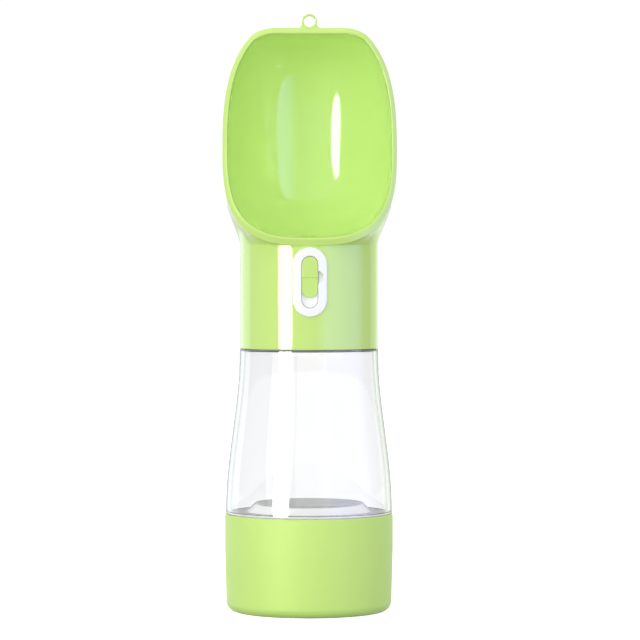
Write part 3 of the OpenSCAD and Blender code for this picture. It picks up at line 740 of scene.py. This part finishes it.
def bottle_profile():
    """Half section of the bottle: under the raised floor, skirt, flange, outside, neck, inside, floor."""
    z = np.linspace(z_flange + base_band, z_shoulder - top_band, 60)
    outside = np.stack([bottle_outer(z), z], -1)
    z = np.linspace(z_shoulder - plate_band, z_floor + floor_band, 50)
    inside = np.stack([bottle_outer(z) - bottle_wall, z], -1)
    floor_r, shoulder_r = bottle_outer(z_floor) - bottle_wall, sleeve_r - bottle_wall
    mouth_r, z_plate = neck_r - neck_wall, z_shoulder - plate_t
    z_under, z_under_foot = z_floor + punt_h - bottle_wall, z_floor - bottle_wall
    below = rounded([(0, z_under, 0), (under_top_r, z_under, 1 * mm),
                     (under_foot_r, z_under_foot, 0.8 * mm),
                     (skirt_bore_r, z_under_foot, 0.5 * mm), (skirt_bore_r, z_skirt, 0.4 * mm),
                     (skirt_r, z_skirt, 0.5 * mm), (skirt_r, z_flange, 0.25 * mm),
                     (bottle_r, z_flange, 0.45 * mm), (bottle_r, z_flange + base_band, 0)])
    above = rounded([(sleeve_r, z_shoulder - top_band, 0), (sleeve_r, z_shoulder, 0.15 * mm),
                     (neck_r, z_shoulder, 0.4 * mm), (neck_r, z_mouth, 0.5 * mm),
                     (mouth_r, z_mouth, 0.5 * mm), (mouth_r, z_plate, 0.4 * mm),
                     (shoulder_r, z_plate, 0.4 * mm),
                     (shoulder_r, z_shoulder - plate_band, 0)])
    floor = rounded([(floor_r, z_floor + floor_band, 0), (floor_r, z_floor, 0.9 * mm),
                     (punt_foot_r, z_floor, 0.8 * mm), (punt_top_r, z_floor + punt_h, 1.2 * mm),
                     (0, z_floor + punt_h, 0)])
    return np.concatenate([below[:-1], outside, above[1:], inside[1:-1], floor])


def revolved(profile, columns=192):
    """Points and faces of a closed (r, z) profile turned round Z: (r cos a, r sin a, z). Its two ends
    meet, or both lie on the axis."""
    a = np.linspace(0, 2 * math.pi, columns, endpoint=False)
    r, z = profile[:, 0][:, None], profile[:, 1][:, None]
    return grid_mesh(np.stack([r * np.cos(a), r * np.sin(a), z + 0 * a], -1), True)


thread_depth, thread_pitch, thread_runout = 1.2 * mm, 4 * mm, math.radians(25)

# The thread's section: heights along the axis, and shares of its depth.
flank_v = np.array([-0.85, -0.72, -0.6, -0.48, -0.4, 0.4, 0.48, 0.6, 0.72, 0.85, 0.85, -0.85]) * mm
flank_h = np.array([-0.1, 0.15, 0.6, 0.93, 1, 1, 0.93, 0.6, 0.15, -0.1, -0.3, -0.3])


def thread(radius, z0, turns_from, turns_to, side):
    """Closed helical ridge between two angles in degrees: r = radius + side depth h e(a) and
    z = z0 + pitch a / 2 pi + v e(a). (v, h) is a rounded trapezoid, and e runs out at both ends."""
    a = np.radians(np.arange(turns_from, turns_to + 1, 3.0))[:, None]
    end = smoothstep(np.clip(np.minimum(a - a[0], a[-1] - a) / thread_runout, 0, 1))
    r = radius + side * thread_depth * flank_h[None, :] * end
    z = z0 + thread_pitch * a / (2 * math.pi) + flank_v[None, :] * end
    return grid_mesh(np.stack([r * np.cos(a), r * np.sin(a), z], -1), True)


bottle_mesh = together(revolved(bottle_profile()),
                       thread(neck_r, z_neck_thread, 0, 540, 1),
                       thread(skirt_r, z_skirt_thread, 0, 540, 1))
bottle = mesh_object("clear_bottle", *bottle_mesh, clear_copolyester(), sharp=45)
bottle.data.materials.append(frosted_painted_light_copolyester())
x, y, z = face_vectors(bottle, "center").T
# Faces under the raised floor take the frosting, with its painted shade and painted glow.
points_down = face_vectors(bottle, "normal")[:, 2] < -0.3
under = points_down & (np.hypot(x, y) < frost_rim_r) & (np.abs(z - z_floor) < frost_reach)
bottle.data.polygons.foreach_set("material_index", under.astype(np.int32))
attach(bottle, "bottle")
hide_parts("bottle_body")


# ---- Grey ring at the shoulder ----
# A flat silicone ring stretched over the neck. It lies on the bottle's shoulder under the sleeve's
# foot, and its dark grey is painted shade, for the shadow in the gap there, that shows as a fine dark
# line between head and bottle.

# The ring's dark grey is painted shade for the gap under the sleeve's foot.
grey_silicone = moulded_material("grey_silicone", (0.2, 0.205, 0.2), (0.45, 0.6), scale=200, bump=0.08)
ring_bore_r, ring_r, ring_t, ring_edge = 24.8 * mm, 29.7 * mm, 0.27 * mm, 0.1 * mm
z_ring = z_shoulder + 0.02 * mm


def seal_ring(inner, outer, low, high, edge):
    """Ring of rectangular section with its corners rounded by edge."""
    middle = (inner + outer) / 2
    return revolved(rounded([(middle, low, 0), (outer, low, edge), (outer, high, edge),
                             (inner, high, edge), (inner, low, edge), (middle, low, 0)]))


ring_mesh = seal_ring(ring_bore_r, ring_r, z_ring, z_ring + ring_t, ring_edge)
ring = mesh_object("shoulder_seal_ring", *ring_mesh, grey_silicone, sharp=45)
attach(ring, "neck_ring")
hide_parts("shoulder_ring")


# ---- Food cup ----
# Satin green ABS cup that screws on the skirt and is the bottle's foot. One moulding with a slightly
# bellied wall, a rounded foot and a shallow recess underneath.

green_satin = moulded_material("green_satin_plastic", green_rgb, (0.55, 0.62), IOR=1.42, Sheen_Weight=0.2)
cup_r, cup_h, cup_wall, cup_floor = 37.8 * mm, 43.9 * mm, 2 * mm, 2.2 * mm
cup_bore_r, cup_foot_r, cup_foot_edge = cup_r - cup_wall, 37.05 * mm, 5.2 * mm
recess_r, recess_foot_r, recess_h = 26.7 * mm, 27.6 * mm, 0.9 * mm
belly_r, belly_drop, bore_belly_drop, bore_taper = 40 * mm, 16 * mm, 12 * mm, 0.7 * mm
z_cup_thread = z_skirt + 0.2 * mm
cup_profile = rounded([(0, recess_h, 0), (recess_r, recess_h, 0.5 * mm),
                       (recess_foot_r, 0, 0.4 * mm), (cup_foot_r, 0, cup_foot_edge),
                       (cup_r, cup_h - belly_drop, belly_r), (cup_r, cup_h, 0.55 * mm),
                       (cup_bore_r, cup_h, 0.6 * mm), (cup_bore_r, cup_h - bore_belly_drop, belly_r),
                       (cup_bore_r - bore_taper, cup_floor, 4.5 * mm), (0, cup_floor, 0)], 12)
cup_mesh = together(revolved(cup_profile), thread(cup_bore_r, z_cup_thread, 270, 720, -1))
cup = mesh_object("food_cup_moulding", *cup_mesh, green_satin, sharp=45)
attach(cup, "cup")
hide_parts("food_cup")


# ---- Cup gasket ----
# Square-section silicone ring that seals the cup's mouth against the bottle. It lies round the skirt,
# right under the flange.

silicone = moulded_material("pale_silicone", (0.72, 0.74, 0.73), (0.45, 0.6), scale=200, bump=0.08)
gasket_bore_r, gasket_r, gasket_edge = 34.3 * mm, 35.7 * mm, 0.25 * mm
gasket_low, gasket_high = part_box("cup_gasket")
gasket_mesh = seal_ring(gasket_bore_r, gasket_r, gasket_low[2], gasket_high[2], gasket_edge)
gasket = mesh_object("cup_gasket_ring", *gasket_mesh, silicone, sharp=45)
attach(gasket, "cup_ring")
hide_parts("cup_gasket")


# ---- White surround of the button ----
# Glossy ABS snapped into the sleeve's window. It follows the sleeve's curve, with rounded edges, and
# a small blunt pocket on its right marks the key's high place.

white_gloss = moulded_material("white_gloss_plastic", (0.93, 0.94, 0.93), (0.15, 0.22), IOR=1.5)
bezel_w, bezel_h, opening_w, opening_h = 15.3 * mm, 30.7 * mm, 7.4 * mm, 23 * mm
bezel_face, bezel_depth, bezel_crown = sleeve_r + 1 * mm, 4.4 * mm, 0.02 * mm
bezel_foot = sleeve_r - 1.5 * mm
turn_steps, side_steps = 40, 60
outer_loop, _ = stadium(bezel_w, bezel_h, turn_steps, side_steps)
inner_loop, _ = stadium(opening_w, opening_h, turn_steps, side_steps)
span = inner_loop - outer_loop
inwards = span / np.linalg.norm(span, axis=1)[:, None]


def bezel_row(loop, shift, radius):
    """One loop of the surround, moved inwards by shift in its (x, z) plane and laid on a circle round the
    axis: y = -sqrt(radius^2 - x^2)."""
    x, z = (loop + inwards * shift).T
    return np.stack([x, -np.sqrt(radius ** 2 - x ** 2), z + z_button], -1)


round_out, round_in = 0.55 * mm, 0.35 * mm
rows = [bezel_row(outer_loop, 0, bezel_foot)]
rows += [bezel_row(outer_loop, round_out * (1 - math.cos(t)), bezel_face - round_out * (1 - math.sin(t)))
         for t in quarter]
rows += [bezel_row(outer_loop, w, bezel_face + bezel_crown) for w in np.linspace(1.0, 2.6, 6) * mm]
rows += [bezel_row(inner_loop, -round_in * (1 - math.cos(t)), bezel_face - round_in * (1 - math.sin(t)))
         for t in quarter[::-1]]
rows += [bezel_row(loop, 0, bezel_face - bezel_depth) for loop in (inner_loop, outer_loop)]
bezel_mesh = grid_mesh(np.array(rows), True, closed=True)
bezel = mesh_object("button_surround", *bezel_mesh, white_gloss, sharp=40)

notch = np.array([(3.5, -3.0), (6.0, -1.3), (6.0, 1.3), (3.5, 3.0)]) * mm
notch_rise, notch_depth = 2.2 * mm, 1.5 * mm
notch_block = slab(notch + [0, z_button + notch_rise], -bezel_face - 1 * mm, -bezel_face + notch_depth)
cut(bezel, mesh_object("notch", *notch_block))
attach(bezel, "head")
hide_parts("button_bezel")


# ---- Plunger and lock key ----
# The white plunger fills the opening; the green key slides on its front and locks it. The key's upper
# half stands 0.35 mm higher, which leaves a step for the thumb.

plunger_low, plunger_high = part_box("button_plunger")
key_low, key_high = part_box("lock_key")
z_key = (key_low[2] + key_high[2]) / 2
block_w, plunger_h = 7.1 * mm, 22.7 * mm
key_t, key_edge, key_step, step_run = 1.5 * mm, 0.35 * mm, 0.35 * mm, 0.5 * mm
tongue_w, tongue_h, tongue_start = 2.4 * mm, 6 * mm, 1.2 * mm


def pill(width, height, front, back, edge, step=0):
    """Closed upright stadium block, its front edge rounded by edge. Below its middle the front lies
    deeper by step, through a smoothstep."""
    loop, outward = stadium(width, height, 40, 140)
    r = width / 2

    def ring(inset, y):
        """The outline moved inwards by inset and laid at depth y, stepped back below its middle."""
        xz = loop - outward * inset
        drop = step * smoothstep(np.clip(-xz[:, 1] / step_run, 0, 1))
        return np.stack([xz[:, 0], y + drop * (y < back - 0.01 * mm), xz[:, 1]], -1)

    parts = [ring(r - 1e-9, back), ring(r / 2, back), ring(0, back)]
    parts += [ring(edge * (1 - math.cos(t)), front + edge * (1 - math.sin(t))) for t in quarter]
    parts += [ring(edge + (r - edge) * w, front) for w in np.linspace(0.15, 1, 8)]
    return grid_mesh(np.array(parts), True)


plunger_points, plunger_faces = pill(block_w, plunger_h, plunger_low[1], plunger_high[1], 0.3 * mm)
plunger = mesh_object("plunger_block", plunger_points + [0, 0, z_button], plunger_faces,
                      white_gloss, sharp=40)
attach(plunger, "button")
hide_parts("button_plunger")

tongue = np.array([(-1, -1), (1, -1), (1, 1), (-1, 1)]) * [tongue_w / 2, tongue_h / 2]
key_block = pill(block_w, key_high[2] - key_low[2], key_low[1], key_low[1] + key_t, key_edge, key_step)
key_points, key_faces = together(key_block, slab(tongue, key_low[1] + tongue_start, key_high[1]))
key = mesh_object("lock_key_moulding", key_points + [0, 0, z_key], key_faces,
                  green_gloss, sharp=40)
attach(key, "key")
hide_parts("lock_key")


# ---- Return spring ----
# Stainless wire of 0.7 mm wound in six turns, with closed ends, behind the plunger.

steel = moulded_material("stainless_steel", (0.62, 0.63, 0.65), (0.2, 0.3), scale=300, Metallic=1.0)
spring_low, spring_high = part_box("return_spring")
wire_r, coil_r, coil_turns, closed_share = 0.35 * mm, 3.5 * mm, 6, 0.125


def spring_mesh():
    """Round wire swept along a helix of radius coil_r; its pitch falls to nothing over the end turns."""
    u = np.linspace(0, 1, coil_turns * 36 + 1)[:, None]
    a = 2 * math.pi * coil_turns * u
    start, end = spring_low[1] + wire_r, spring_high[1] - wire_r
    y = start + (end - start) * np.clip((u - closed_share) / (1 - 2 * closed_share), 0, 1)
    b = np.linspace(0, 2 * math.pi, 12, endpoint=False)[None, :]
    r = coil_r + wire_r * np.cos(b)
    body = np.stack([r * np.cos(a), y + wire_r * np.sin(b) + 0 * r, z_button + r * np.sin(a)], -1)
    tips = [np.broadcast_to(body[i].mean(0), body[i].shape)[None] for i in (0, -1)]
    return grid_mesh(np.concatenate([tips[0], body, tips[1]]), True)


spring = mesh_object("coil_spring", *spring_mesh(), steel, sharp=60)
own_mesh(spring)
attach(spring, "head")
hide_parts("return_spring")


# ---- Inner pieces ----
# The white insert, valve and seals inside the sleeve keep their CAD form and take their finishes here:
# mouldings in gloss white, soft seals in silicone and rubber, the bush in acetal, stem and clip in steel.

grey_acetal = moulded_material("grey_acetal", (0.6, 0.61, 0.61), (0.35, 0.45))
black_rubber = moulded_material("black_rubber", (0.02, 0.02, 0.02), (0.4, 0.5), scale=250, bump=0.1)
inner_finishes = {
    "head_core": white_gloss, "chamber_cap": white_gloss, "plunger_plate": white_gloss,
    "spring_seat": white_gloss, "plug_retainer": white_gloss, "mouth_gasket": silicone,
    "core_seal_ring": silicone, "outlet_seal": silicone, "valve_plug": silicone,
    "stem_bush": grey_acetal, "stem_seal": black_rubber, "valve_stem": steel, "key_clip": steel}
for name, finish in inner_finishes.items():
    nodes[name].data.materials.clear()
    nodes[name].data.materials.append(finish)
